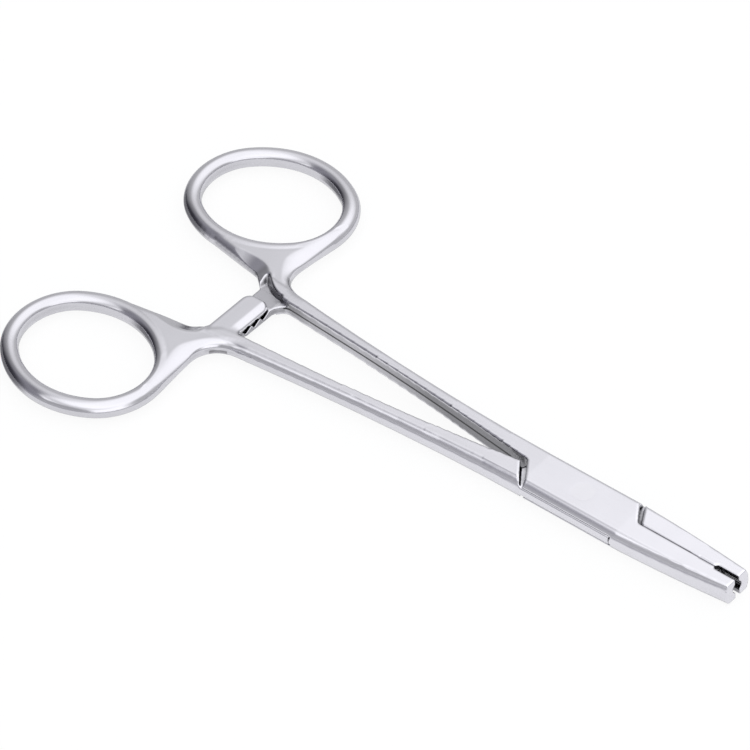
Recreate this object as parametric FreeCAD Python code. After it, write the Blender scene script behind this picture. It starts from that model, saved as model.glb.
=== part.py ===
import FreeCAD, Part

import math
import os

# Dermal anchor forceps, a slender box-lock clamp with two finger rings, in millimetres.
# The origin is on the pivot axis, in the plane of the lock's underside.
# +X points to the tip, +Z up. Three pieces: the half with the slotted box, the half with
# the tongue that passes through the box, and the pivot pin.
# The box half has its ring at +Y and its jaw at -Y, and the tongue half crosses it.

# Lengths along the instrument, measured from the pivot
HANDLE_LENGTH = 97.2
JAW_LENGTH = 29.0

# Thickness along Z, the same on all three pieces
BOX_THICKNESS = 4.3
HANDLE_THICKNESS = 3.1
TIP_THICKNESS = 3.8

# Box lock, seen from above
BOX_WIDTH = 8.4
BOX_FLAT_LENGTH = 18.0
SIDE_BULGE = 1.05
TONGUE_THICKNESS = 1.72
TONGUE_CLEARANCE = 0.05
WINDOW_INNER_REACH = 11.6
WINDOW_OUTER_REACH = 7.95
WINDOW_END_CLEARANCE = 0.2

# Slanted ends of the two cheeks, and the gap between them and the tongue half's shoulders
CHEEK_REAR_INNER_REACH = 10.95
CHEEK_REAR_OUTER_REACH = 8.75
CHEEK_FRONT_INNER_REACH = 10.45
CHEEK_FRONT_OUTER_REACH = 8.2
CROTCH_RADIUS = 1.5
CHEEK_FRONT_RADIUS = 0.8
SHOULDER_GAP_INNER = 1.3
SHOULDER_GAP_OUTER = 0.3
SHOULDER_GAP_FRONT_INNER = 0.6
SHOULDER_GAP_FRONT_OUTER = 0.4

# Pivot pin, flush with both cheeks
PIN_RADIUS = 1.5
PIN_HEAD_FLARE = 0.3
PIN_RUNNING_CLEARANCE = 0.04

# Jaws
TIP_WIDTH = 5.2
TIP_SIDE_BULGE = 0.5
JAW_FACE_GAP = 0.06
TIP_SLOT_LENGTH = 4.1
TIP_SLOT_WIDTH = 0.9
TIP_CHANNEL_RADIUS = 1.0

# Shanks: half the gap between them, half the spread of their outer sides
CROTCH_HALF_GAP = 0.45
MIDDLE_HALF_GAP = 3.45
REAR_HALF_GAP = 4.95
REAR_HALF_SPREAD = 7.75
SHANK_FLARE_POWER = 1.7
SHANK_SIDE_BULGE = 0.85
SHANK_BEND_RADIUS = 600.0
INNER_WALL_RIDGE = 0.14

# Finger rings: centre line of the wire
RING_HALF_LENGTH = 13.4
RING_HALF_WIDTH = 10.7
RING_END_RADIUS = 9.3
RING_TOE_ANGLE = 6.0
RING_SPREAD = 21.5
RING_WIRE_WIDTH = 3.1
RING_INNER_WALL = 1.7
RING_FACET_TURN = 30.0

# Neck between ring, shank and ratchet
NECK_THICKNESS = 2.9
NECK_EDGE_RADIUS = 1.25
NECK_OUTER_RADIUS = 4.3
NECK_INNER_RADIUS = 2.2
NECK_BEHIND_RATCHET = 2.55
NECK_OUTER_SPREAD = 9.15
NECK_INNER_SPREAD = 7.6
NECK_FRONT_LEAN = 1.1
NECK_FRONT_ANGLE = -12.0
NECK_BACK_ANGLE = -100.0
SHANK_TO_RATCHET = 1.6

# Ratchet arms, one above the other, with saw teeth on the faces that meet
RATCHET_TO_RING = 14.3
RATCHET_WIDTH = 4.75
RATCHET_ROOT_SPREAD = 5.6
UPPER_ARM_REACH = 3.0
LOWER_ARM_REACH = 4.1
UPPER_ARM_ROOT_RADIUS = 1.0
LOWER_ARM_ROOT_RADIUS = 2.4
ARM_END_RADIUS = 1.6
ARM_EDGE_RADIUS = 0.5
TOOTH_COUNT = 3
TOOTH_PITCH = 2.0
ARM_SPLIT_RISE = 0.25
UPPER_TOOTH_DEPTH = 0.35
LOWER_TOOTH_DEPTH = 0.9
UPPER_TOOTH_INSET = 0.85
LOWER_TOOTH_INSET = 0.75
TOOTH_STEEP_RUN = 0.3
TOOTH_CLEARANCE = 0.1

# How deep fused bodies run into each other, and the small step between their faces
OVERLAP = 1.0
FACE_STEP = 0.05

# Construction values worked out from the sizes above
MID_Z = BOX_THICKNESS / 2
BOX_HALF = BOX_WIDTH / 2
BOX_END = BOX_FLAT_LENGTH / 2
FAR = 3 * RING_SPREAD
TOE = math.radians(RING_TOE_ANGLE)
WIRE_HALF = RING_WIRE_WIDTH / 2
HANDLE_HALF = HANDLE_THICKNESS / 2
RING_BACK = math.hypot(RING_HALF_LENGTH * math.cos(TOE), RING_HALF_WIDTH * math.sin(TOE))
RING_X = -(HANDLE_LENGTH - RING_BACK - WIRE_HALF)
RATCHET_X = RING_X + RATCHET_TO_RING
ARM_FRONT_X = RATCHET_X + RATCHET_WIDTH / 2
ARM_BACK_X = RATCHET_X - RATCHET_WIDTH / 2
SHANK_REAR_X = ARM_FRONT_X + SHANK_TO_RATCHET
SPINE_REAR_X = ARM_BACK_X - NECK_BEHIND_RATCHET
BOX_FLAT_HALF = BOX_HALF - SIDE_BULGE
SHANK_STEPS = 8
JAW_STEPS = 6


def vec(x, y, z=0.0):
    return FreeCAD.Vector(x, y, z)


def outline(corners):
    """Closed wire in the XY plane through (x, y, radius) corners, each rounded by its radius."""
    arcs = []
    ends = []
    count = len(corners)
    for i in range(count):
        before = vec(*corners[i - 1][:2])
        here = vec(*corners[i][:2])
        after = vec(*corners[(i + 1) % count][:2])
        radius = corners[i][2]
        if radius == 0:
            arcs.append(None)
            ends.append((here, here))
            continue
        back = (before - here).normalize()
        ahead = (after - here).normalize()
        half_angle = back.getAngle(ahead) / 2
        reach = radius / math.tan(half_angle)
        bisector = (back + ahead).normalize()
        middle = here + bisector * (radius / math.sin(half_angle) - radius)
        start = here + back * reach
        finish = here + ahead * reach
        arcs.append(Part.Arc(start, middle, finish).toShape())
        ends.append((start, finish))
    edges = []
    for i in range(count):
        edges.append(Part.makeLine(ends[i - 1][1], ends[i][0]))
        if arcs[i] is not None:
            edges.append(arcs[i])
    return Part.Wire(edges)


def prism(wire, low, high):
    """Solid between two heights above the flat outline."""
    face = Part.Face(wire)
    face.translate(vec(0, 0, low))
    return face.extrude(vec(0, 0, high - low))


def mirrored(shape):
    """The same shape on the other side of the instrument's centre plane."""
    return shape.mirror(vec(0, 0, 0), vec(0, 1, 0))


def round_edges(solid, radius, wanted):
    """Rounds the edges whose middle point passes the test."""
    edges = []
    for edge in solid.Edges:
        middle = edge.valueAt((edge.FirstParameter + edge.LastParameter) / 2)
        if wanted(middle):
            edges.append(edge)
    return solid.makeFillet(radius, edges)


# Outer form of the closed shanks, box and jaws

def shank_share(x):
    """0 at the box, 1 at the rear of the shank."""
    return max((-x - BOX_END) / (-SHANK_REAR_X - BOX_END), 0)


def shank_section_sizes(x):
    share = shank_share(x)
    spread = BOX_HALF + (REAR_HALF_SPREAD - BOX_HALF) * share ** SHANK_FLARE_POWER
    bulge = SIDE_BULGE + (SHANK_SIDE_BULGE - SIDE_BULGE) * min(2 * share, 1.0)
    half_thickness = HANDLE_HALF + (MID_Z - HANDLE_HALF) * max(1 - share, 0) ** 2
    return spread, bulge, half_thickness


def jaw_section_sizes(x):
    share = (x - BOX_END) / (JAW_LENGTH - BOX_END)
    half_width = BOX_HALF - (BOX_WIDTH - TIP_WIDTH) / 2 * share * (1 + share) / 2
    bulge = SIDE_BULGE + (TIP_SIDE_BULGE - SIDE_BULGE) * share
    half_thickness = MID_Z + (TIP_THICKNESS - BOX_THICKNESS) / 2 * share
    return half_width, bulge, half_thickness


def section(x, half_width, bulge, half_thickness):
    """Flat top and bottom, and sides that bulge out along a circular arc."""
    flat = half_width - bulge
    top = MID_Z + half_thickness
    bottom = MID_Z - half_thickness
    return Part.Wire([
        Part.makeLine(vec(x, flat, top), vec(x, -flat, top)),
        Part.Arc(vec(x, -flat, top), vec(x, -half_width, MID_Z), vec(x, -flat, bottom)).toShape(),
        Part.makeLine(vec(x, -flat, bottom), vec(x, flat, bottom)),
        Part.Arc(vec(x, flat, bottom), vec(x, half_width, MID_Z), vec(x, flat, top)).toShape(),
    ])


def closed_form():
    """Shanks, box and jaws of the closed instrument as one bar, before it is divided."""
    shank_step = (-BOX_END - SPINE_REAR_X) / SHANK_STEPS
    sections = []
    for i in range(SHANK_STEPS + 1):
        x = SPINE_REAR_X + i * shank_step
        sections.append(section(x, *shank_section_sizes(x)))
    jaw_step = (JAW_LENGTH - BOX_END) / JAW_STEPS
    for i in range(JAW_STEPS + 1):
        x = BOX_END + i * jaw_step
        sections.append(section(x, *jaw_section_sizes(x)))
    return Part.makeLoft(sections, True, True)


# Division of that form into the two halves, seen from above

def shank_inner_corners(shift):
    """Inner edge of the shank at +Y, from the rear to the middle, moved outward by shift."""
    middle_x = (SHANK_REAR_X - BOX_END) / 2 - CROTCH_RADIUS
    return [
        (SPINE_REAR_X - OVERLAP, NECK_INNER_SPREAD + 2 * NECK_EDGE_RADIUS + shift, 0),
        (RATCHET_X, RATCHET_ROOT_SPREAD + FACE_STEP + shift, 0),
        (SHANK_REAR_X, REAR_HALF_GAP + shift, 0),
        (middle_x, MIDDLE_HALF_GAP + shift, SHANK_BEND_RADIUS),
    ]


def slanted(inner_x, outer_x, y, outer_y=BOX_HALF):
    """X at y of a slanted end that runs from inner_x at the centre to outer_x at outer_y."""
    return inner_x + (outer_x - inner_x) * y / outer_y


def box_half_plan(shift):
    """Plan of the half with the box: shank at +Y, cheeks, jaw at -Y."""
    crotch_x = slanted(
        -CHEEK_REAR_INNER_REACH, -CHEEK_REAR_OUTER_REACH, -CROTCH_HALF_GAP, BOX_FLAT_HALF
    )
    tip_x = JAW_LENGTH + OVERLAP
    return outline(
        [(SPINE_REAR_X - OVERLAP, FAR, 0)]
        + shank_inner_corners(shift)
        + [
            (crotch_x, CROTCH_HALF_GAP, CROTCH_RADIUS),
            (-CHEEK_REAR_OUTER_REACH, -BOX_FLAT_HALF, 0),
            (-CHEEK_REAR_OUTER_REACH, -BOX_WIDTH, 0),
            (tip_x, -BOX_WIDTH, 0),
            (tip_x, -JAW_FACE_GAP / 2, 0),
            (CHEEK_FRONT_INNER_REACH, -JAW_FACE_GAP / 2, CHEEK_FRONT_RADIUS),
            (CHEEK_FRONT_OUTER_REACH, BOX_FLAT_HALF, 0),
            (CHEEK_FRONT_OUTER_REACH, FAR, 0),
        ]
    )


def tongue_half_rear_plan(shift):
    """Plan of the tongue half behind its rear shoulder, drawn at -Y."""
    inner_x = -CHEEK_REAR_INNER_REACH - SHOULDER_GAP_INNER
    outer_x = -CHEEK_REAR_OUTER_REACH - SHOULDER_GAP_OUTER
    corner_x = slanted(inner_x, outer_x, CROTCH_HALF_GAP)
    side_x = slanted(inner_x, outer_x, FAR)
    inner = []
    for x, y, radius in shank_inner_corners(shift):
        inner.append((x, -y, radius))
    return outline(
        [(SPINE_REAR_X - OVERLAP, -FAR, 0)]
        + inner
        + [(corner_x, -CROTCH_HALF_GAP, 0), (side_x, -FAR, 0)]
    )


def tongue_half_front_plan():
    """Plan of the tongue half ahead of its front shoulder: the jaw at +Y."""
    inner_x = CHEEK_FRONT_INNER_REACH + SHOULDER_GAP_FRONT_INNER
    outer_x = CHEEK_FRONT_OUTER_REACH + SHOULDER_GAP_FRONT_OUTER
    return outline([
        (JAW_LENGTH + OVERLAP, BOX_WIDTH, 0),
        (JAW_LENGTH + OVERLAP, JAW_FACE_GAP / 2, 0),
        (inner_x, JAW_FACE_GAP / 2, 0),
        (slanted(inner_x, outer_x, BOX_WIDTH), BOX_WIDTH, 0),
    ])


def window_plan(end_clearance):
    """The box's window, or with a clearance the tongue that fills it."""
    inner_x = WINDOW_INNER_REACH - end_clearance
    outer_x = WINDOW_OUTER_REACH - end_clearance
    side_x = slanted(inner_x, outer_x, BOX_WIDTH)
    root_x = inner_x + BOX_HALF / 2
    return outline([
        (-side_x, BOX_WIDTH, 0),
        (-inner_x, 0, 0),
        (-root_x, -BOX_WIDTH, 0),
        (side_x, -BOX_WIDTH, 0),
        (inner_x, 0, 0),
        (root_x, BOX_WIDTH, 0),
    ])


def drafted(plan):
    """Solid over a plan whose inner wall stands out by a ridge at mid-height."""
    low = plan(INNER_WALL_RIDGE)
    middle = plan(0)
    high = plan(INNER_WALL_RIDGE)
    low.translate(vec(0, 0, -BOX_THICKNESS / 2))
    middle.translate(vec(0, 0, MID_Z))
    high.translate(vec(0, 0, MID_Z + BOX_THICKNESS))
    lower = Part.makeLoft([low, middle], True, True)
    upper = Part.makeLoft([middle, high], True, True)
    return lower.fuse(upper)


# Handles: ring, neck and ratchet arm, drawn at +Y

def ring_outline(offset):
    """Oval of four tangent arcs, offset from the wire's centre line."""
    half_length = RING_HALF_LENGTH
    half_width = RING_HALF_WIDTH
    end_centre = half_length - RING_END_RADIUS
    top = half_length ** 2 + half_width ** 2 - 2 * half_length * RING_END_RADIUS
    side_radius = top / (2 * (half_width - RING_END_RADIUS))
    side_centre = side_radius - half_width
    turn = math.atan2(side_centre, end_centre)
    end_r = RING_END_RADIUS + offset
    reach = end_centre + end_r
    join_x = end_centre + end_r * math.cos(turn)
    join_y = end_r * math.sin(turn)
    height = half_width + offset
    arcs = [
        Part.Arc(vec(join_x, -join_y), vec(reach, 0), vec(join_x, join_y)),
        Part.Arc(vec(join_x, join_y), vec(0, height), vec(-join_x, join_y)),
        Part.Arc(vec(-join_x, join_y), vec(-reach, 0), vec(-join_x, -join_y)),
        Part.Arc(vec(-join_x, -join_y), vec(0, -height), vec(join_x, -join_y)),
    ]
    wire = Part.Wire([arc.toShape() for arc in arcs])
    wire.rotate(vec(0, 0), vec(0, 0, 1), RING_TOE_ANGLE)
    wire.translate(vec(RING_X, RING_SPREAD))
    return wire


def ring():
    """Wire with a round outer side, faceted shoulders and a flat inner wall, swept round the oval."""
    path = ring_outline(0)
    path.translate(vec(0, 0, MID_Z))
    start = path.Edges[0].valueAt(path.Edges[0].FirstParameter)
    along = path.Edges[0].tangentAt(path.Edges[0].FirstParameter).normalize()
    outward = along.cross(vec(0, 0, 1)).normalize()

    def at(out, up):
        return start + outward * out + vec(0, 0, up)

    turn = math.radians(RING_FACET_TURN)
    wall = RING_INNER_WALL / 2
    inset = math.sqrt(WIRE_HALF ** 2 - wall ** 2)
    inner = [
        at(0, -HANDLE_HALF),
        at(-WIRE_HALF * math.sin(turn), -HANDLE_HALF * math.cos(turn)),
        at(-inset, -wall),
        at(-inset, wall),
        at(-WIRE_HALF * math.sin(turn), HANDLE_HALF * math.cos(turn)),
        at(0, HANDLE_HALF),
    ]
    edges = [Part.Arc(inner[-1], at(WIRE_HALF, 0), inner[0]).toShape()]
    for i in range(len(inner) - 1):
        edges.append(Part.makeLine(inner[i], inner[i + 1]))
    return path.makePipeShell([Part.Wire(edges)], True, False)


def ring_edge_point(angle, offset):
    """Point near the ring's wire at an angle about its centre, offset outward."""
    a = math.radians(angle)
    x = (RING_HALF_LENGTH + offset) * math.cos(a)
    y = (RING_HALF_WIDTH + offset) * math.sin(a)
    return (
        RING_X + x * math.cos(TOE) - y * math.sin(TOE),
        RING_SPREAD + x * math.sin(TOE) + y * math.cos(TOE),
    )


def neck():
    """Web with rounded flanks that joins ring, shank and ratchet arm."""
    front = ring_edge_point(NECK_FRONT_ANGLE, WIRE_HALF - FACE_STEP)
    back = ring_edge_point(NECK_BACK_ANGLE, WIRE_HALF - FACE_STEP)
    spread = shank_section_sizes(SHANK_REAR_X)[0]
    wire = outline([
        (front[0], front[1], 0),
        (front[0] - NECK_FRONT_LEAN, NECK_OUTER_SPREAD, NECK_OUTER_RADIUS),
        (SHANK_REAR_X, spread - 2 * FACE_STEP, 0),
        (SHANK_REAR_X, REAR_HALF_GAP + SHANK_SIDE_BULGE / 2, 0),
        (ARM_FRONT_X, RATCHET_ROOT_SPREAD, 0),
        (ARM_BACK_X, RATCHET_ROOT_SPREAD, 0),
        (ARM_BACK_X - NECK_BEHIND_RATCHET, NECK_INNER_SPREAD, NECK_INNER_RADIUS),
        (back[0], back[1], 0),
        (RING_X, RING_SPREAD, 0),
    ])
    half = NECK_THICKNESS / 2
    plate = prism(wire, MID_Z - half, MID_Z + half)
    hole = prism(ring_outline(0), MID_Z - BOX_THICKNESS, MID_Z + BOX_THICKNESS)

    def on_flank(point):
        level = abs(abs(point.z - MID_Z) - half) < FACE_STEP
        outer = ARM_BACK_X < point.x < SHANK_REAR_X - FACE_STEP and point.y > spread - OVERLAP
        inner = point.x < ARM_BACK_X and point.y < back[1] + OVERLAP
        return level and (outer or inner)

    return round_edges(plate, NECK_EDGE_RADIUS, on_flank).cut(hole)


def ratchet_arm(split_rise, reach, root_radius, tooth_depth, tooth_inset):
    """Upper arm of a handle drawn at +Y, up to its reach past the centre, teeth below."""
    root_y = RATCHET_ROOT_SPREAD + OVERLAP
    web_slope = (MIDDLE_HALF_GAP - REAR_HALF_GAP) / (SHANK_REAR_X / 2 - SHANK_REAR_X)
    web_end_x = SHANK_REAR_X + root_radius
    web_end_y = REAR_HALF_GAP + FACE_STEP + web_slope * root_radius
    web_y = web_end_y - web_slope * (web_end_x - ARM_FRONT_X)
    wire = outline([
        (ARM_BACK_X, root_y, 0),
        (ARM_BACK_X, -reach, ARM_END_RADIUS),
        (ARM_FRONT_X, -reach, ARM_END_RADIUS),
        (ARM_FRONT_X, web_y, root_radius),
        (web_end_x, web_end_y, 0),
        (web_end_x, web_end_y + SHANK_SIDE_BULGE, 0),
        (ARM_FRONT_X, root_y, 0),
    ])
    top = MID_Z + HANDLE_HALF - FACE_STEP
    low = MID_Z + split_rise + TOOTH_CLEARANCE / 2
    arm = prism(wire, low, top)

    def on_top(point):
        return point.z > top - FACE_STEP and point.y < web_y - FACE_STEP

    arm = round_edges(arm, ARM_EDGE_RADIUS, on_top)
    for i in range(TOOTH_COUNT):
        arm = arm.cut(tooth_gap(-reach + tooth_inset + i * TOOTH_PITCH, low, tooth_depth))
    return arm


def tooth_gap(y, level, depth):
    """Saw-tooth groove above a level: steep on the side of the arm's end, sloping behind."""
    x = RATCHET_X - RATCHET_WIDTH
    points = [
        vec(x, y, level - depth),
        vec(x, y, level),
        vec(x, y + TOOTH_STEEP_RUN, level + depth),
        vec(x, y + TOOTH_PITCH, level),
        vec(x, y + TOOTH_PITCH, level - depth),
    ]
    face = Part.Face(Part.makePolygon(points + points[:1]))
    return face.extrude(vec(2 * RATCHET_WIDTH, 0, 0))


def handle(*arm_sizes):
    return ring().fuse([neck(), ratchet_arm(*arm_sizes)])


# The three pieces

def tip_channel():
    """Slot between the jaws' ends, widened to a round channel at mid-height."""
    start = JAW_LENGTH - TIP_SLOT_LENGTH
    slot = Part.makeBox(
        TIP_SLOT_LENGTH + OVERLAP, TIP_SLOT_WIDTH, 2 * BOX_THICKNESS,
        vec(start, -TIP_SLOT_WIDTH / 2, -BOX_THICKNESS / 2),
    )
    channel = Part.makeCylinder(
        TIP_CHANNEL_RADIUS, TIP_SLOT_LENGTH + OVERLAP, vec(start, 0, MID_Z), vec(1, 0, 0)
    )
    return slot.fuse(channel)


def pivot_pin():
    """Pin with flared ends, ground flush with the cheeks."""
    flare = PIN_RADIUS + PIN_HEAD_FLARE
    profile = Part.makePolygon([
        vec(0, 0, 0),
        vec(flare, 0, 0),
        vec(PIN_RADIUS, 0, PIN_HEAD_FLARE),
        vec(PIN_RADIUS, 0, BOX_THICKNESS - PIN_HEAD_FLARE),
        vec(flare, 0, BOX_THICKNESS),
        vec(0, 0, BOX_THICKNESS),
        vec(0, 0, 0),
    ])
    return Part.Face(profile).revolve(vec(0, 0, 0), vec(0, 0, 1), 360)


def box_half(form):
    """Shank and ring at +Y, the two cheeks of the box, and the jaw at -Y."""
    slot_half = TONGUE_THICKNESS / 2 + TONGUE_CLEARANCE
    window = prism(window_plan(0), MID_Z - slot_half, MID_Z + slot_half)
    front = form.common(drafted(box_half_plan))
    front = front.cut([window, tip_channel(), pivot_pin()])
    lower_handle = handle(
        -ARM_SPLIT_RISE, LOWER_ARM_REACH, LOWER_ARM_ROOT_RADIUS, LOWER_TOOTH_DEPTH, LOWER_TOOTH_INSET
    )
    lower_handle = lower_handle.rotate(vec(0, 0, MID_Z), vec(1, 0, 0), 180)
    return front.fuse(mirrored(lower_handle)).removeSplitter().Solids[0]


def tongue_half(form):
    """Shank and ring at -Y, the tongue through the box, and the jaw at +Y."""
    half = TONGUE_THICKNESS / 2
    tongue_layer = prism(window_plan(WINDOW_END_CLEARANCE), MID_Z - half, MID_Z + half)
    tongue = form.common(tongue_layer)
    hole = Part.makeCylinder(PIN_RADIUS + PIN_RUNNING_CLEARANCE, BOX_THICKNESS)
    rear = form.common(drafted(tongue_half_rear_plan))
    jaw = form.common(prism(tongue_half_front_plan(), -OVERLAP, BOX_THICKNESS + OVERLAP))
    front = rear.fuse([tongue, jaw]).cut([hole, tip_channel()])
    upper_handle = handle(
        ARM_SPLIT_RISE, UPPER_ARM_REACH, UPPER_ARM_ROOT_RADIUS, UPPER_TOOTH_DEPTH, UPPER_TOOTH_INSET
    )
    return front.fuse(mirrored(upper_handle)).removeSplitter().Solids[0]


def main():
    form = closed_form()
    pieces = {
        "box_half": box_half(form),
        "tongue_half": tongue_half(form),
        "pivot_pin": pivot_pin(),
    }
    os.makedirs("parts", exist_ok=True)
    for name, shape in pieces.items():
        print(name, shape.ShapeType, len(shape.Solids), shape.isValid(), round(shape.Volume, 2))
        shape.exportStep("parts/" + name + ".step")


main()
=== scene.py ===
import math

import bpy
import numpy as np
from mathutils import Matrix, Vector
from mathutils.bvhtree import BVHTree


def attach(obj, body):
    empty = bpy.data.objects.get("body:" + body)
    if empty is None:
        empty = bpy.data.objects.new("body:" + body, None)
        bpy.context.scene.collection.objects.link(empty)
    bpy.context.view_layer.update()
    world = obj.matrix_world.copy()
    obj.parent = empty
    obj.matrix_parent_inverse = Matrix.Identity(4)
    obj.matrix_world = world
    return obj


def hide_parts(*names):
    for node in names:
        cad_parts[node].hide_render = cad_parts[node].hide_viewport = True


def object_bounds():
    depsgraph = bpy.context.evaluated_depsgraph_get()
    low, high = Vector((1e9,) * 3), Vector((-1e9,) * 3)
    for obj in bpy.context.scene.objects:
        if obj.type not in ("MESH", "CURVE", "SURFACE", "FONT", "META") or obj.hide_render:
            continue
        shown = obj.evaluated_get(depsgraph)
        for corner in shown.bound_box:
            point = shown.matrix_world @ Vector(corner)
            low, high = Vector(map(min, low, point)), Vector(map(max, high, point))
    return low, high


# Dermal anchor forceps: looks. Sizes in millimetres, objects in metres.
# The two halves are rebuilt from the frame's solids with forged blends and eased edges.

MM = 0.001

# Camera of the photograph
CAMERA_AIM = (-43.105, 1.835, 2.15)
CAMERA_AZIMUTH = 45.411
CAMERA_ELEVATION = 43.528
CAMERA_ROLL = -5.989
CAMERA_DISTANCE = 782.04
CAMERA_LENS = 245.015
SENSOR_WIDTH = 36.0

# Forged surface
GRAIN = 0.18
PIN_END_RADIUS = 1.8
PIN_STAND = 0.005
LOCK_REAR_X = -14.0
LOCK_FADE = 2.8
HANDLE_PASSES = 17
LOCK_PASSES = 3
NECK_PASSES = 5
NECK_EASED_LENGTH = 9
NECK_EASED_Y = (5.8, 20)
CORNER_PASSES = 20
CORNER_FADE = (0.8, 1.8)

# Finger rings
RING_CENTRE = (-82.277, 21.5)
RING_TOE = 6.0
RING_HALF_LENGTH = 13.4
RING_HALF_WIDTH = 10.7
RING_END_RADIUS = 9.3
WIRE_RADIUS = 1.55
RING_WALL_INSET = 1.42
RING_WALL_DRAFT = 0.16
RING_WALL_BLEND = 0.08
WIRE_CORE = 0.7
WIRE_SKIN = 0.5
MID_Z = 2.15

# Angles round the ring, in degrees, over which its wall frees itself from the neck and meets it again
RING_LEAVES_NECK = (-4, 14)
RING_MEETS_NECK = (218, 242)

# Neck, drawn at +Y: the ridge on its inner side, the soft ridge on its outer side, and its outer edge
INNER_RIDGE = (
    (-88.0, 10.2), (-83.2, 9.5), (-79.5, 9.6), (-75.1, 10.1), (-72.2, 9.6),
    (-70.5, 8.3), (-69.4, 7.3), (-67.4, 6.0), (-65.8, 5.7), (-61.0, 5.4),
)
OUTER_RIDGE = (
    (-69.1, 21.5), (-69.9, 18.5), (-71.2, 15.9), (-71.9, 13.8), (-71.8, 11.7),
    (-70.1, 9.7), (-68.2, 7.9), (-66.1, 6.9), (-63.8, 6.1), (-60.7, 5.6),
)
OUTER_EDGE = (
    (-66.9, 24.0), (-67.5, 20.5), (-68.3, 12.6), (-68.1, 11.0), (-67.6, 9.8),
    (-66.6, 8.7), (-65.3, 8.1), (-64.0, 7.65), (-60.0, 7.1),
)
NECK_ZONE_X = (-90, -60)
NECK_ZONE_Y = (4, 24)
NECK_RISE = 1.5
FLANK_FALL = 0.45
FLANK_EDGE = 0.3
RECESS_RISE = 0.2
RECESS_WALL = 0.5
RECESS_CORNER_Y = 7.6

# Ratchet arms
ARM_BACK_X = -70.35
ARM_FRONT_X = -65.6
ARM_CROWN_WIDTH = 1.4
ARM_CROWN_FALL = 0.42

# Painted shade in gaps: how open the steel is, the gaps at which a facing wall paints it fully dark or no
# longer, first for faces that look up or down and then for walls, and the painted shade of walls, seams and
# the parting line
RAY_START = 0.03
RAY_LEANS = (0.7, 1.8)
DARK_GAP = 1.3
OPEN_GAP = 7.0
WALL_DARK_GAP = 4.8
WALL_OPEN_GAP = 18.0
LOWER_WALL_LIFT = 0.12
WALL_SLOPE = 0.75
RECESS_CLIFF_SHADE = 0.5
LOCK_DARK_SHARE = 0.5
OTHER_HALF_SHADE_LIMIT = 0.32
SKIN_TONE = 0.3
PARTING_HALF_WIDTH = 0.14
PARTING_SHADE = 0.18
SEAM_GAP = 0.11
SEAM_REAR_X = LOCK_REAR_X - 3
SHADE_BLUR_PASSES = 2

# Steel: brighter towards the lock than on the handles, matt in the milled recesses and darker there with
# painted shade
HANDLE_SHINE = 0.88
LOCK_SHINE = 1.05
SHINE_FROM_X = -75.0
SHINE_TO_X = -8.0
# Painted shade at grazing angles: the colour darkens where the surface turns away from the view
RIM_FROM = 0.6
RIM_SHADE = 0.3
MILLED_SHADE = 0.75
MILLED_ROUGHNESS = 0.3
MARK_SCALE = (60, 2500, 2500)
MARK_DEPTH = 0.00002
CLOUD_SCALE = 180.0
SATIN_COLOUR = (0.70, 0.695, 0.73)
PIN_COLOUR = (0.71, 0.705, 0.735)

# Brightness of the room, of its lights and of what hangs in it
ROOM_LEVEL = 0.35
SOFTBOX_LEVEL = 1.6
CEILING_LEVEL = 1.5
SIDE_LEVEL = 0.65
BACK_LEVEL = 0.7
LOW_FRONT_LEVEL = 0.55
FLAG_LEVEL = 0.05
TABLE_LEVEL = 1.0
BACKDROP_LEVEL = 0.93

# Floor: half its width in metres, the share of its white that needs no light, and how far the steel
# sees past it to the room
FLOOR_HALF_SIZE = 6.0
FLOOR_WHITE_TO_EYE = 0.9
STEEL_SEES_ROOM = 0.8


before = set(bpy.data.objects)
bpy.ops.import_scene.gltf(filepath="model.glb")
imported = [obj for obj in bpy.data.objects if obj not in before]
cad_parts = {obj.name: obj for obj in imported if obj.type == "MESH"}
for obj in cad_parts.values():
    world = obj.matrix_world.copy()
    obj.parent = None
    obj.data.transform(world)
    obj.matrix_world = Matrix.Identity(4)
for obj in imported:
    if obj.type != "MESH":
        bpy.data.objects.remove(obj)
cad_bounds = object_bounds()


# Surfaces

def cad_copy(name, *nodes):
    """A new object that joins copies of some nodes' meshes, in millimetres."""
    verts = []
    faces = []
    for node in nodes:
        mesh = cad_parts[node].data
        base = len(verts)
        for v in mesh.vertices:
            verts.append(v.co / MM)
        for p in mesh.polygons:
            faces.append([base + i for i in p.vertices])
    mesh = bpy.data.meshes.new(name)
    mesh.from_pydata(verts, [], faces)
    obj = bpy.data.objects.new(name, mesh)
    bpy.context.scene.collection.objects.link(obj)
    return obj


def apply_modifiers(obj):
    graph = bpy.context.evaluated_depsgraph_get()
    mesh = bpy.data.meshes.new_from_object(obj.evaluated_get(graph))
    obj.modifiers.clear()
    old = obj.data
    obj.data = mesh
    bpy.data.meshes.remove(old)


def points_of(mesh):
    co = np.zeros(len(mesh.vertices) * 3)
    mesh.vertices.foreach_get("co", co)
    return co.reshape(-1, 3)


def edges_of(mesh):
    pairs = np.zeros(len(mesh.edges) * 2, dtype=np.int64)
    mesh.edges.foreach_get("vertices", pairs)
    return pairs.reshape(-1, 2)


def neighbour_mean(co, pairs, degree):
    out = np.empty_like(co)
    first, second = pairs[:, 0], pairs[:, 1]
    for axis in range(3):
        total = np.bincount(first, co[second, axis], len(co))
        total += np.bincount(second, co[first, axis], len(co))
        out[:, axis] = total / degree
    return out


def relax(co, pairs, passes, weight):
    """Evens the surface out without shrinking it, more where the weight is higher."""
    degree = np.bincount(pairs.ravel(), minlength=len(co)).clip(1)
    share = weight[:, None]
    for i in range(passes):
        for step in (0.62, -0.64):
            co = co + step * share * (neighbour_mean(co, pairs, degree) - co)
    return co


def smoothstep(low, high, values):
    t = np.clip((values - low) / (high - low), 0, 1)
    return t * t * (3 - 2 * t)


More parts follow.
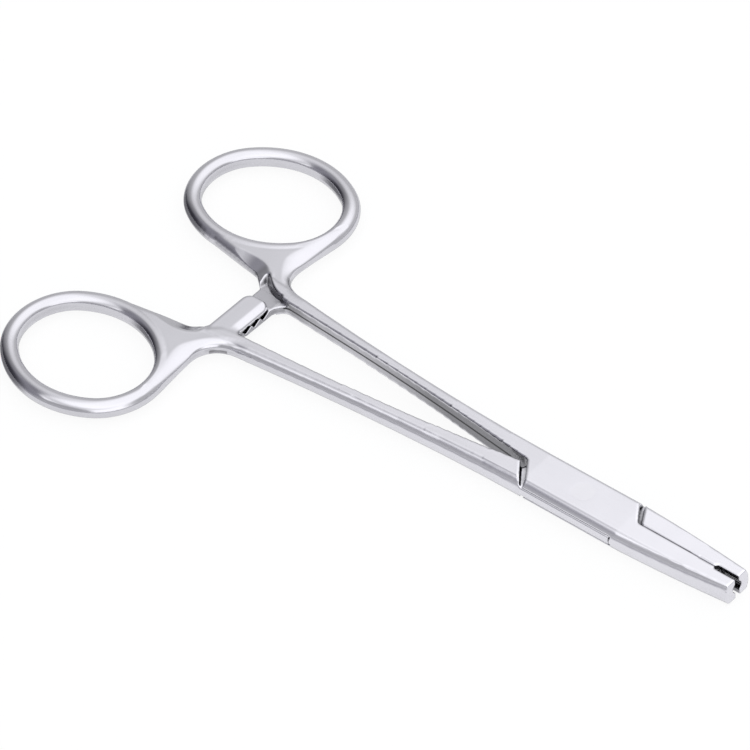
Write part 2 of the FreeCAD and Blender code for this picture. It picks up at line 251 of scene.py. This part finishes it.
def oval_offset(px, py):
    """Distance of points from the ring's centre line, outward positive, and the line's normal."""
    end_centre = RING_HALF_LENGTH - RING_END_RADIUS
    top = RING_HALF_LENGTH ** 2 + RING_HALF_WIDTH ** 2 - 2 * RING_HALF_LENGTH * RING_END_RADIUS
    side_radius = top / (2 * (RING_HALF_WIDTH - RING_END_RADIUS))
    side_centre = side_radius - RING_HALF_WIDTH
    ax, ay = np.abs(px), np.abs(py)
    on_end = ay * end_centre < (ax - end_centre) * side_centre
    cx = np.where(on_end, end_centre, 0.0)
    cy = np.where(on_end, 0.0, -side_centre)
    radius = np.where(on_end, RING_END_RADIUS, side_radius)
    dx, dy = ax - cx, ay - cy
    distance = np.hypot(dx, dy)
    return distance - radius, np.sign(px) * dx / distance, np.sign(py) * dy / distance


def round_ring(co, side):
    """Draws the ring onto a round wire, its inner wall flatter and creased at mid height."""
    toe = math.radians(RING_TOE)
    x = co[:, 0] - RING_CENTRE[0]
    y = side * co[:, 1] - RING_CENTRE[1]
    px = x * math.cos(toe) + y * math.sin(toe)
    py = -x * math.sin(toe) + y * math.cos(toe)
    out, nx, ny = oval_offset(px, py)
    up = co[:, 2] - MID_Z
    rho = np.hypot(out, up)
    cos_phi = out / rho.clip(1e-6)
    sin_phi = up / rho.clip(1e-6)
    wall = RING_WALL_INSET / np.clip(-cos_phi + RING_WALL_DRAFT * np.abs(sin_phi), 1e-3, 2)
    blend = RING_WALL_BLEND
    h = np.clip(0.5 + 0.5 * (wall - WIRE_RADIUS) / blend, 0, 1)
    target = wall * (1 - h) + WIRE_RADIUS * h - blend * h * (1 - h)
    target = np.where(cos_phi < 0, target, WIRE_RADIUS)
    angle = np.degrees(np.arctan2(py, px))
    turned = (angle + 360) % 360
    leaving = smoothstep(*RING_LEAVES_NECK, angle) * (angle > -60)
    meeting = (turned > 90) * (1 - smoothstep(*RING_MEETS_NECK, turned))
    free = leaving + meeting
    inner = (out < 0) * smoothstep(0.0, 0.5, -out)
    free = np.clip(np.maximum(free, inner), 0, 1)
    near = (rho < WIRE_RADIUS + WIRE_SKIN) & (rho > WIRE_CORE)
    shift = (target - rho) * free * near
    d_out = shift * cos_phi
    d_up = shift * sin_phi
    qx = d_out * nx
    qy = d_out * ny
    co = co.copy()
    co[:, 0] += qx * math.cos(toe) - qy * math.sin(toe)
    co[:, 1] += side * (qx * math.sin(toe) + qy * math.cos(toe))
    co[:, 2] += d_up
    return co


def rounded(line, passes=3):
    """The same line with its corners cut again and again until it runs smoothly."""
    for i in range(passes):
        cut = [line[0]]
        for (ax, ay), (bx, by) in zip(line[:-1], line[1:]):
            cut.append((0.75 * ax + 0.25 * bx, 0.75 * ay + 0.25 * by))
            cut.append((0.25 * ax + 0.75 * bx, 0.25 * ay + 0.75 * by))
        line = cut + [line[-1]]
    return line


def from_line(px, py, line):
    """Distance of points from a smooth line, and on which side they lie."""
    best = np.full(len(px), np.inf)
    side = np.zeros(len(px))
    points = rounded(line)
    for (ax, ay), (bx, by) in zip(points[:-1], points[1:]):
        ux, uy = bx - ax, by - ay
        share = np.clip(((px - ax) * ux + (py - ay) * uy) / (ux * ux + uy * uy), 0, 1)
        dx, dy = px - ax - share * ux, py - ay - share * uy
        distance = np.hypot(dx, dy)
        across = (ux * dy - uy * dx) / math.hypot(ux, uy)
        tied = np.abs(distance - best) < 1e-6
        nearer = (distance < best - 1e-6) | (tied & (np.abs(across) > np.abs(side)))
        best = np.where(nearer, distance, best)
        side = np.where(nearer, across, side)
    return best, np.sign(side)


def shape_neck(co, side):
    """Broad flanks that fall from the neck's ridges to its edges, and the milled recess of the arm."""
    x = co[:, 0]
    y = side * co[:, 1]
    near = (x < NECK_ZONE_X[1]) & (x > NECK_ZONE_X[0])
    near = near & (y > NECK_ZONE_Y[0]) & (y < NECK_ZONE_Y[1])
    up = co[:, 2] - MID_Z
    height = np.abs(up)
    inner, inner_turn = from_line(x, y, INNER_RIDGE)
    flank = np.maximum(NECK_RISE - FLANK_FALL * inner, FLANK_EDGE)
    floor_rise = RECESS_RISE + (NECK_RISE - RECESS_RISE) * (1 - smoothstep(0.1, RECESS_WALL, inner))
    milled = smoothstep(ARM_BACK_X - 0.7, ARM_BACK_X + 0.1, x) * (up * side > 0)
    behind = 1 - smoothstep(ARM_BACK_X - 0.9, ARM_BACK_X - 0.1, x)
    open_side = 1 - smoothstep(ARM_FRONT_X - 0.3, ARM_FRONT_X + 0.4, x)
    inner_rise = flank * (1 - milled) + floor_rise * milled
    inner_share = np.where(up * side > 0, open_side, behind) * near * (inner_turn < 0)
    height = height + (np.minimum(height, inner_rise) - height) * inner_share
    outer, outer_turn = from_line(x, y, OUTER_RIDGE)
    edge, edge_turn = from_line(x, y, OUTER_EDGE)
    share = np.clip(outer / (outer + edge * (edge_turn < 0)).clip(1e-6), 0, 1)
    outer_rise = FLANK_EDGE + (NECK_RISE - FLANK_EDGE) * np.sqrt(1 - share ** 2)
    outer_share = (1 - smoothstep(-66.0, -61.5, x)) * near * smoothstep(5.2, 6.4, y) * (outer_turn > 0)
    height = height + (np.minimum(height, outer_rise) - height) * outer_share
    co = co.copy()
    co[:, 2] = MID_Z + np.sign(up) * height
    return co


def crown_arm(co, side):
    """Lets the outer face of the ratchet arm fall gently towards its front edge."""
    face = -side
    x = co[:, 0]
    y = side * co[:, 1]
    up = face * (co[:, 2] - MID_Z)
    on_arm = (x < ARM_FRONT_X + 0.2) & (x > ARM_FRONT_X - ARM_CROWN_WIDTH) & (up > 0.9)
    share = (x - ARM_FRONT_X + ARM_CROWN_WIDTH) / ARM_CROWN_WIDTH
    free = 1 - smoothstep(3.4, 5.2, y)
    fall = ARM_CROWN_FALL * share.clip(0, 1) ** 1.3 * free * smoothstep(0.9, 1.2, up)
    co = co.copy()
    co[:, 2] -= face * np.where(on_arm, fall, 0)
    return co


def forged(name, side, *nodes):
    """One half as a forging: blended junctions, smooth ring, edges of the lock only just eased."""
    obj = cad_copy(name, *nodes)
    remesh = obj.modifiers.new("grain", "REMESH")
    remesh.mode = "VOXEL"
    remesh.voxel_size = GRAIN
    apply_modifiers(obj)
    mesh = obj.data
    pairs = edges_of(mesh)
    co = points_of(mesh)
    co = relax(co, pairs, LOCK_PASSES, np.ones(len(co)))
    handle = 1 - smoothstep(LOCK_REAR_X - LOCK_FADE, LOCK_REAR_X, co[:, 0])
    co = round_ring(co, side)
    co = relax(co, pairs, HANDLE_PASSES, handle)
    co = shape_neck(co, side)
    co = crown_arm(co, side)
    across = np.abs(co[:, 1])
    neck = handle * (co[:, 0] < ARM_BACK_X + NECK_EASED_LENGTH)
    neck = neck * (across > NECK_EASED_Y[0]) * (across < NECK_EASED_Y[1])
    co = relax(co, pairs, NECK_PASSES, neck)
    corner = np.hypot(co[:, 0] - ARM_BACK_X, side * co[:, 1] - RECESS_CORNER_Y)
    co = relax(co, pairs, CORNER_PASSES, 1 - smoothstep(*CORNER_FADE, corner))
    co = round_ring(co, side)
    if "pivot_pin" in nodes:
        co = seat_pin(co)
    low, high = (np.array(bound) / MM for bound in cad_bounds)
    co = np.clip(co, low, high)
    mesh.vertices.foreach_set("co", (co * MM).ravel())
    mesh.update()
    mesh.shade_smooth()
    return obj


def seat_pin(co):
    """Sinks the two ends of the filled pin hole a hair, so that the pin's own ends show."""
    radius = np.hypot(co[:, 0], co[:, 1])
    share = 1 - smoothstep(PIN_END_RADIUS, PIN_END_RADIUS + GRAIN, radius)
    up = co[:, 2] - MID_Z
    sunk = MID_Z - PIN_STAND * share
    co = co.copy()
    co[:, 2] = MID_Z + np.clip(up, -sunk, sunk)
    return co


def ground_pin(name):
    """The pin as the frame has it, its ends ground flush with the box and free of painted shade."""
    obj = cad_copy(name, "pivot_pin")
    mesh = obj.data
    layer = mesh.color_attributes.new("painted_shade", "FLOAT_COLOR", "POINT")
    layer.data.foreach_set("color", np.tile([1.0, 0.0, 0.0, 1.0], len(mesh.vertices)))
    co = points_of(mesh)
    mesh.vertices.foreach_set("co", (co * MM).ravel())
    mesh.update()
    return obj


# Painted shade of the steel in gaps, seams and recesses

def gap_ahead(trees, start, ray, reach):
    """Distance to the nearest steel along a ray, up to the reach."""
    gap = reach
    for tree in trees:
        hit = tree.ray_cast(start, ray, reach)
        if hit[0] is not None:
            gap = min(gap, hit[3])
    return gap


def openness(trees, place, normal):
    """0 where steel faces the point close by, 1 where the view ahead is free."""
    start = place + normal * RAY_START
    rays = [normal]
    if abs(normal.z) < WALL_SLOPE:
        across = normal.cross(Vector((0, 0, 1))).normalized()
        near, far = WALL_DARK_GAP, WALL_OPEN_GAP
        for lean in RAY_LEANS:
            rays += [normal + across * lean, normal - across * lean]
    else:
        side = normal.orthogonal().normalized()
        across = normal.cross(side)
        near, far = DARK_GAP, OPEN_GAP
        for lean in RAY_LEANS:
            rays += [normal + side * lean, normal - side * lean]
            rays += [normal + across * lean, normal - across * lean]
    seen = 0.0
    for ray in rays:
        gap = gap_ahead(trees, start, ray.normalized(), far)
        seen += max((gap - near) / (far - near), 0.0)
    return seen / len(rays)


def in_recess(co, side):
    """1 on the milled floor of the arm's recess, 0 elsewhere."""
    x = co[:, 0]
    y = side * co[:, 1]
    distance, turn = from_line(x, y, INNER_RIDGE)
    along = smoothstep(ARM_BACK_X - 0.3, ARM_BACK_X, x) * (1 - smoothstep(ARM_FRONT_X - 0.4, ARM_FRONT_X, x))
    inside = smoothstep(0.4, 0.7, distance) * (turn < 0) * (y > 3)
    return along * inside * (side * (co[:, 2] - MID_Z) > -0.2)


def on_cliff(co, normals, side):
    """1 on the steep walls that step down to the milled floor of the arm's recess."""
    x = co[:, 0]
    y = side * co[:, 1]
    near = (x > ARM_BACK_X - 1.4) & (x < ARM_FRONT_X + 0.6) & (y > 5.0) & (y < 9.5)
    return near * (side * (co[:, 2] - MID_Z) > 0.0) * (1 - smoothstep(0.75, 0.93, side * normals[:, 2]))


def on_parting(co, normals, side):
    """1 on the fine parting line at mid height of the shank's inner wall, 0 elsewhere."""
    level = 1 - smoothstep(0.5 * PARTING_HALF_WIDTH, 1.5 * PARTING_HALF_WIDTH, np.abs(co[:, 2] - MID_Z))
    shank = (co[:, 0] > ARM_FRONT_X + 1) & (co[:, 0] < LOCK_REAR_X - 1) & (side * normals[:, 1] < -0.6)
    return level * shank


def paint_gap_shade(*halves):
    """Paints shade into a colour layer on each point: how open it is, 0 and darkest deep in a gap or seam,
    and where the steel is milled.
    """
    trees = []
    for half in halves:
        mesh = half[0].data
        co = points_of(mesh) / MM
        faces = [tuple(p.vertices) for p in mesh.polygons]
        trees.append(BVHTree.FromPolygons([tuple(c) for c in co], faces))
    for own, (obj, side) in enumerate(halves):
        mesh = obj.data
        painted_shade = np.ones(len(mesh.vertices))
        for i, v in enumerate(mesh.vertices):
            place = v.co / MM
            closed = openness(trees, place, v.normal)
            if place.x > LOCK_REAR_X and abs(v.normal.z) < WALL_SLOPE:
                closed = max(0.0, (closed - LOCK_DARK_SHARE) / (1 - LOCK_DARK_SHARE))
            if abs(v.normal.z) < WALL_SLOPE and place.z < MID_Z:
                closed += LOWER_WALL_LIFT * (1 - closed)
            painted_shade[i] = closed
            # Painted shade cast by the other half goes no darker than its limit; shade from the half's own
            # walls may go darker
            if closed < OTHER_HALF_SHADE_LIMIT:
                painted_shade[i] = min(OTHER_HALF_SHADE_LIMIT, openness(trees[own:own + 1], place, v.normal))
            # A painted dark line of shade along seams, where the open skin lies within a hair of the other
            # half
            on_skin = closed > SKIN_TONE and place.x > SEAM_REAR_X
            if on_skin and trees[1 - own].find_nearest(place, SEAM_GAP)[0] is not None:
                painted_shade[i] = 0.0
        pairs = edges_of(mesh)
        degree = np.bincount(pairs.ravel(), minlength=len(painted_shade)).clip(1)
        for i in range(SHADE_BLUR_PASSES):
            total = np.bincount(pairs[:, 0], painted_shade[pairs[:, 1]], len(painted_shade))
            total += np.bincount(pairs[:, 1], painted_shade[pairs[:, 0]], len(painted_shade))
            painted_shade = 0.5 * painted_shade + 0.5 * total / degree
        places = points_of(mesh) / MM
        normals = np.zeros(len(places) * 3)
        mesh.vertices.foreach_get("normal", normals)
        normals = normals.reshape(-1, 3)
        # Painted shade: a dark line along the parting line of the shank's inner wall
        painted_shade *= 1 - (1 - PARTING_SHADE) * on_parting(places, normals, side)
        # Painted shade on the steep walls round the arm's milled recess
        painted_shade *= 1 - (1 - RECESS_CLIFF_SHADE) * on_cliff(places, normals, side)
        milled = in_recess(places, side)
        colours = np.stack([painted_shade, milled, np.zeros(len(painted_shade)), np.ones(len(painted_shade))], axis=1)
        layer = mesh.color_attributes.new("painted_shade", "FLOAT_COLOR", "POINT")
        layer.data.foreach_set("color", colours.ravel())


# Steel

def node(tree, kind, **settings):
    made = tree.nodes.new(kind)
    for key, value in settings.items():
        setattr(made, key, value)
    return made


def ranged(tree, source, low, high, **settings):
    """Output of a map range from a linked value to low..high."""
    made = node(tree, "ShaderNodeMapRange", **settings)
    made.inputs["To Min"].default_value = low
    made.inputs["To Max"].default_value = high
    tree.links.new(source, made.inputs["Value"])
    return made


def times(tree, first, second):
    """Output of a plain product of two linked colours or values."""
    made = node(tree, "ShaderNodeMix", data_type="RGBA", blend_type="MULTIPLY")
    made.inputs["Factor"].default_value = 1.0
    tree.links.new(first, made.inputs[6])
    tree.links.new(second, made.inputs[7])
    return made.outputs[2]


def steel(name, colour, roughness, brush):
    """Polished steel with fine marks along the instrument, matt in the milled recesses, with painted shade
    in gaps, seams and recesses and at grazing edges.
    """
    material = bpy.data.materials.new(name)
    material.use_nodes = True
    tree = material.node_tree
    shader = tree.nodes["Principled BSDF"]
    shader.inputs["Metallic"].default_value = 1.0
    place = node(tree, "ShaderNodeTexCoord")
    stretch = node(tree, "ShaderNodeMapping")
    stretch.inputs["Scale"].default_value = MARK_SCALE
    tree.links.new(place.outputs["Object"], stretch.inputs["Vector"])
    marks = node(tree, "ShaderNodeTexNoise")
    marks.inputs["Scale"].default_value = 1.0
    marks.inputs["Detail"].default_value = 4.0
    tree.links.new(stretch.outputs["Vector"], marks.inputs["Vector"])
    cloud = node(tree, "ShaderNodeTexNoise")
    cloud.inputs["Scale"].default_value = CLOUD_SCALE
    cloud.inputs["Detail"].default_value = 3.0
    tree.links.new(place.outputs["Object"], cloud.inputs["Vector"])
    base = node(tree, "ShaderNodeRGB")
    base.outputs[0].default_value = (*colour, 1)
    clouded = ranged(tree, cloud.outputs["Fac"], 0.94, 1.03)
    shade = times(tree, base.outputs[0], clouded.outputs["Result"])
    axes = node(tree, "ShaderNodeSeparateXYZ")
    tree.links.new(place.outputs["Object"], axes.inputs[0])
    # The colour grows brighter from the handles towards the lock
    brightness_along = ranged(tree, axes.outputs["X"], HANDLE_SHINE, LOCK_SHINE)
    brightness_along.inputs["From Min"].default_value = SHINE_FROM_X * MM
    brightness_along.inputs["From Max"].default_value = SHINE_TO_X * MM
    shade = times(tree, shade, brightness_along.outputs["Result"])
    # Colour layer of painted shade: red darkens gaps, seams and recesses, green marks the milled floor
    painted_shade = node(tree, "ShaderNodeVertexColor", layer_name="painted_shade")
    parts = node(tree, "ShaderNodeSeparateColor")
    tree.links.new(painted_shade.outputs["Color"], parts.inputs[0])
    gap_shade = ranged(tree, parts.outputs["Red"], 0.02, 1.0, interpolation_type="SMOOTHSTEP")
    gap_shade.inputs["From Max"].default_value = 0.85
    shade = times(tree, shade, gap_shade.outputs["Result"])
    # Painted shade on the milled floor of the recess darkens its colour; its matt finish is the added
    # roughness
    milled = ranged(tree, parts.outputs["Green"], 1.0, MILLED_SHADE)
    shade = times(tree, shade, milled.outputs["Result"])
    # Painted shade: the colour darkens at grazing angles, a dark edge along the outlines
    rim = node(tree, "ShaderNodeLayerWeight")
    rim.inputs["Blend"].default_value = 0.5
    edge = ranged(tree, rim.outputs["Facing"], 1.0, RIM_SHADE, interpolation_type="SMOOTHSTEP")
    edge.inputs["From Min"].default_value = RIM_FROM
    shade = times(tree, shade, edge.outputs["Result"])
    tree.links.new(shade, shader.inputs["Base Color"])
    gloss = ranged(tree, marks.outputs["Fac"], roughness * 0.8, roughness * 1.25)
    matt = ranged(tree, parts.outputs["Green"], 0.0, MILLED_ROUGHNESS)
    rough = node(tree, "ShaderNodeMath", operation="ADD")
    tree.links.new(gloss.outputs["Result"], rough.inputs[0])
    tree.links.new(matt.outputs["Result"], rough.inputs[1])
    tree.links.new(rough.outputs[0], shader.inputs["Roughness"])
    bump = node(tree, "ShaderNodeBump")
    bump.inputs["Strength"].default_value = brush
    bump.inputs["Distance"].default_value = MARK_DEPTH
    tree.links.new(marks.outputs["Fac"], bump.inputs["Height"])
    tree.links.new(bump.outputs["Normal"], shader.inputs["Normal"])
    return material


def dress(obj, material):
    obj.data.materials.clear()
    obj.data.materials.append(material)


# Stage

def studio():
    """World of soft light areas: white at the camera and overhead, grey behind, dark at the far left."""
    world = bpy.data.worlds.new("studio")
    bpy.context.scene.world = world
    world.use_nodes = True
    tree = world.node_tree
    tree.nodes.clear()
    out = node(tree, "ShaderNodeOutputWorld")
    light = node(tree, "ShaderNodeBackground")
    tree.links.new(light.outputs[0], out.inputs["Surface"])
    place = node(tree, "ShaderNodeTexCoord")
    level = node(tree, "ShaderNodeRGB")
    level.outputs[0].default_value = grey(ROOM_LEVEL)
    sky = level.outputs[0]

    # Softbox round the camera, and a dark flag above it that the ceiling covers in part
    sky = area(tree, place, sky, SOFTBOX_LEVEL, bearing=-5, height=40, reach=62, fade=5)
    sky = area(tree, place, sky, FLAG_LEVEL, bearing=-30, height=65, reach=50, fade=50)

    # Dark curtain beyond the object at the far left, grey at the camera's left and right
    sky = area(tree, place, sky, FLAG_LEVEL, bearing=-160, height=30, reach=30, fade=20)
    sky = area(tree, place, sky, FLAG_LEVEL, bearing=-125, height=5, reach=40, fade=25)
    sky = area(tree, place, sky, LOW_FRONT_LEVEL, bearing=-50, height=0, reach=35, fade=15)
    sky = area(tree, place, sky, SIDE_LEVEL, bearing=65, height=10, reach=45, fade=30)

    # Wide grey wall behind the object, then the ceiling's panels at the camera and at the far right
    sky = area(tree, place, sky, BACK_LEVEL, bearing=145, height=15, reach=90, fade=60)
    sky = area(tree, place, sky, SOFTBOX_LEVEL, bearing=-5, height=70, reach=50, fade=25)
    sky = area(tree, place, sky, CEILING_LEVEL, bearing=115, height=65, reach=55, fade=40)

    # Table below, darker towards the horizon and under the curtain
    sky = area(tree, place, sky, ROOM_LEVEL, bearing=0, height=-90, reach=85, fade=5)
    sky = area(tree, place, sky, TABLE_LEVEL, bearing=0, height=-90, reach=80, fade=10)
    sky = area(tree, place, sky, FLAG_LEVEL, bearing=-125, height=-15, reach=35, fade=20)
    path = node(tree, "ShaderNodeLightPath")
    shown = mixed(tree, path.outputs["Is Camera Ray"], sky, grey(BACKDROP_LEVEL))
    tree.links.new(shown, light.inputs["Color"])


def area(tree, place, below, level, bearing, height, reach, fade):
    """Lays a soft round area over the world so far, its place and size in degrees.

    The bearing runs counter-clockwise, seen from above, from the camera's own side.
    """
    az = math.radians(CAMERA_AZIMUTH - 90 + bearing)
    el = math.radians(height)
    middle = (math.cos(az) * math.cos(el), math.sin(az) * math.cos(el), math.sin(el))
    facing = node(tree, "ShaderNodeVectorMath", operation="DOT_PRODUCT")
    facing.inputs[1].default_value = middle
    tree.links.new(place.outputs["Generated"], facing.inputs[0])
    share = node(tree, "ShaderNodeMapRange", interpolation_type="SMOOTHSTEP")
    share.inputs["From Min"].default_value = math.cos(math.radians(reach))
    share.inputs["From Max"].default_value = math.cos(math.radians(reach - fade))
    tree.links.new(facing.outputs["Value"], share.inputs["Value"])
    return mixed(tree, share.outputs["Result"], below, grey(level))


def mixed(tree, share, first, second):
    """Output of a colour mix from a linked colour towards a plain one."""
    mix = node(tree, "ShaderNodeMix", data_type="RGBA")
    tree.links.new(share, mix.inputs["Factor"])
    tree.links.new(first, mix.inputs[6])
    mix.inputs[7].default_value = second
    return mix.outputs[2]


def grey(value):
    """A plain level of light, cooler where it is low."""
    cool = max(0.0, 0.6 - value)
    return (value * (1 - 0.05 * cool), value * (1 - 0.1 * cool), value * (1.02 + 0.3 * cool), 1)


def floor():
    """Pale floor that keeps the object's shadow, white to the eye; the steel sees mostly past it."""
    size = FLOOR_HALF_SIZE
    z = cad_bounds[0][2]
    corners = [(-size, -size, z), (size, -size, z), (size, size, z), (-size, size, z)]
    mesh = bpy.data.meshes.new("floor")
    mesh.from_pydata(corners, [], [(0, 1, 2, 3)])
    obj = bpy.data.objects.new("floor", mesh)
    bpy.context.scene.collection.objects.link(obj)
    material = bpy.data.materials.new("floor_white")
    material.use_nodes = True
    tree = material.node_tree
    paint = tree.nodes["Principled BSDF"]
    paint.inputs["Base Color"].default_value = (0.9, 0.9, 0.9, 1)
    paint.inputs["Roughness"].default_value = 0.9
    paint.inputs["Specular IOR Level"].default_value = 0.1
    white = node(tree, "ShaderNodeEmission")
    white.inputs["Strength"].default_value = 1.0
    path = node(tree, "ShaderNodeLightPath")
    by_eye = node(tree, "ShaderNodeMath", operation="MULTIPLY")
    by_eye.inputs[1].default_value = FLOOR_WHITE_TO_EYE
    tree.links.new(path.outputs["Is Camera Ray"], by_eye.inputs[0])
    shown = node(tree, "ShaderNodeMixShader")
    tree.links.new(by_eye.outputs[0], shown.inputs["Fac"])
    tree.links.new(paint.outputs[0], shown.inputs[1])
    tree.links.new(white.outputs[0], shown.inputs[2])
    mirrored = node(tree, "ShaderNodeMath", operation="MAXIMUM")
    tree.links.new(path.outputs["Is Glossy Ray"], mirrored.inputs[0])
    tree.links.new(path.outputs["Is Transmission Ray"], mirrored.inputs[1])
    past = node(tree, "ShaderNodeMath", operation="MULTIPLY")
    past.inputs[1].default_value = STEEL_SEES_ROOM
    tree.links.new(mirrored.outputs[0], past.inputs[0])
    clear = node(tree, "ShaderNodeBsdfTransparent")
    mix = node(tree, "ShaderNodeMixShader")
    tree.links.new(past.outputs[0], mix.inputs["Fac"])
    tree.links.new(shown.outputs[0], mix.inputs[1])
    tree.links.new(clear.outputs[0], mix.inputs[2])
    tree.links.new(mix.outputs[0], tree.nodes["Material Output"].inputs["Surface"])
    dress(obj, material)


def camera():
    az = math.radians(CAMERA_AZIMUTH)
    el = math.radians(CAMERA_ELEVATION)
    roll = math.radians(CAMERA_ROLL)
    back = Vector((math.sin(az) * math.cos(el), -math.cos(az) * math.cos(el), math.sin(el)))
    level = Vector((math.cos(az), math.sin(az), 0))
    raised = back.cross(level)
    right = level * math.cos(roll) + raised * math.sin(roll)
    up = raised * math.cos(roll) - level * math.sin(roll)
    data = bpy.data.cameras.new("camera")
    data.sensor_width = SENSOR_WIDTH
    data.lens = CAMERA_LENS
    data.clip_start = 0.05
    data.clip_end = 50.0
    obj = bpy.data.objects.new("camera", data)
    bpy.context.scene.collection.objects.link(obj)
    place = (Vector(CAMERA_AIM) + back * CAMERA_DISTANCE) * MM
    turn = Matrix((right, up, back)).transposed().to_4x4()
    obj.matrix_world = Matrix.Translation(place) @ turn
    bpy.context.scene.camera = obj


satin = steel("satin_steel", SATIN_COLOUR, 0.13, 0.3)
pin_steel = steel("pin_steel", PIN_COLOUR, 0.14, 0.3)

box_half = forged("box_half_forged", 1, "box_half", "pivot_pin")
dress(box_half, satin)
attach(box_half, "box_body")
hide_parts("box_half")

tongue_half = forged("tongue_half_forged", -1, "tongue_half")
dress(tongue_half, satin)
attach(tongue_half, "tongue_body")
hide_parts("tongue_half")

pin = ground_pin("pivot_pin_ground")
dress(pin, pin_steel)
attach(pin, "box_body")
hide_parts("pivot_pin")

paint_gap_shade((box_half, 1), (tongue_half, -1))

studio()
floor()
camera()
bpy.context.scene.view_settings.view_transform = "Standard"
